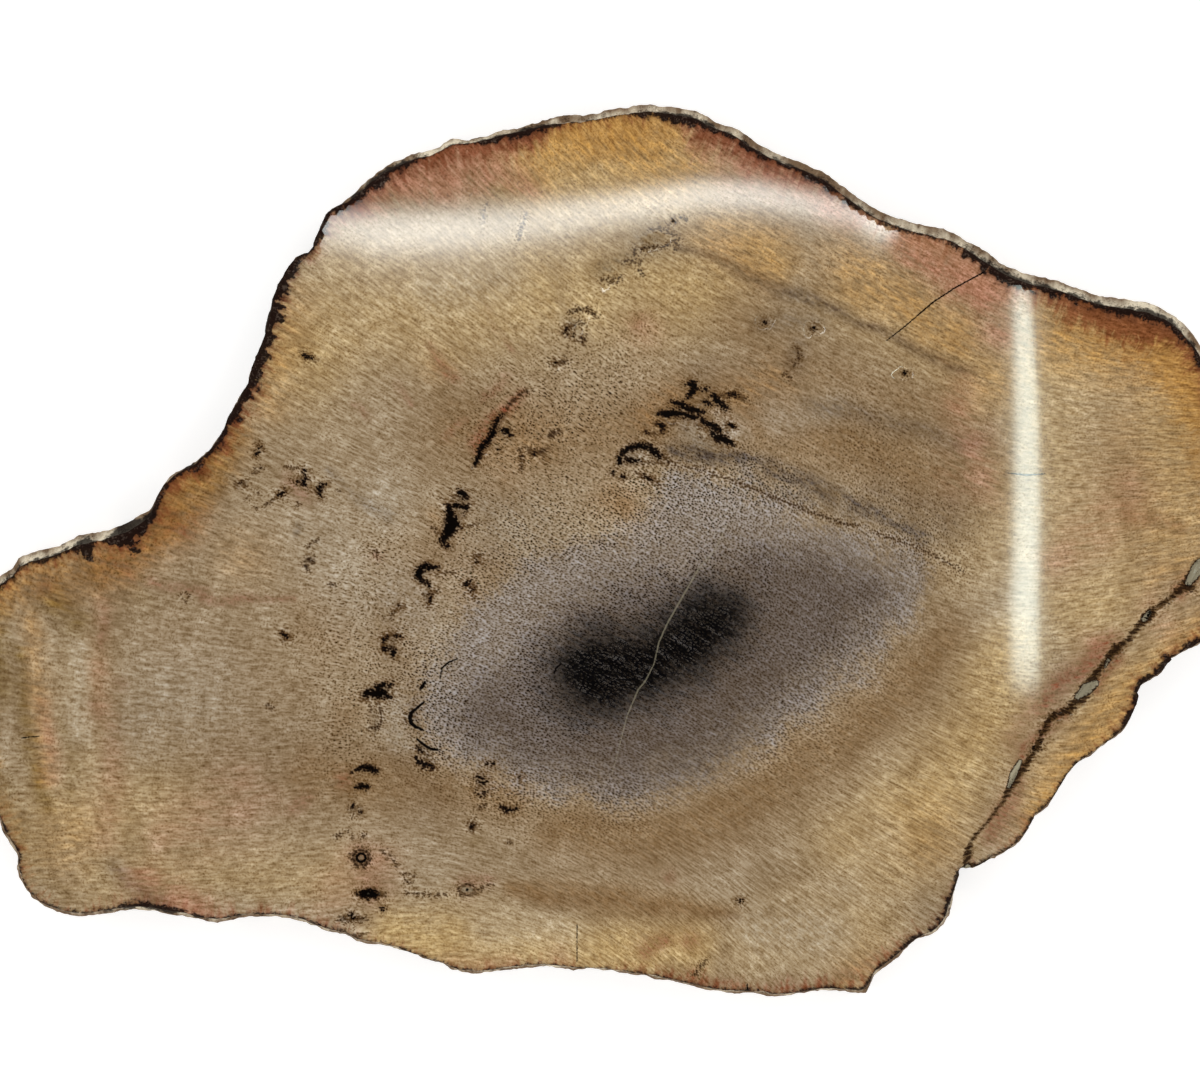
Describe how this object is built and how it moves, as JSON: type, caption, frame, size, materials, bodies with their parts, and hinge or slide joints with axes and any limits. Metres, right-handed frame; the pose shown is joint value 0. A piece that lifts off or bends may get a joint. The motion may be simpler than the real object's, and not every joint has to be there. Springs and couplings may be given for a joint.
{
  "type": "petrified wood slab",
  "caption": "Flat slab cut across a petrified log, with one polished face, a sawn back, a rough natural rim and a split with open pockets; it lies on a shelf or table.",
  "frame": {"origin": "middle of the slab's length and width, on the plane of its sawn back", "axes": "+Z out of the polished face, +X along the slab's length towards the end with the split, +Y towards the hump of the outline"},
  "size_m": [0.2596, 0.1802, 0.012],
  "materials": {
    "slab": "polished brown and tan chalcedony on the face, with a dark grey heart; rough, weathered rind on the wall; matte sawn back"
  },
  "bodies": {
    "root": {"slab": "slab"}
  },
  "joints": []
}
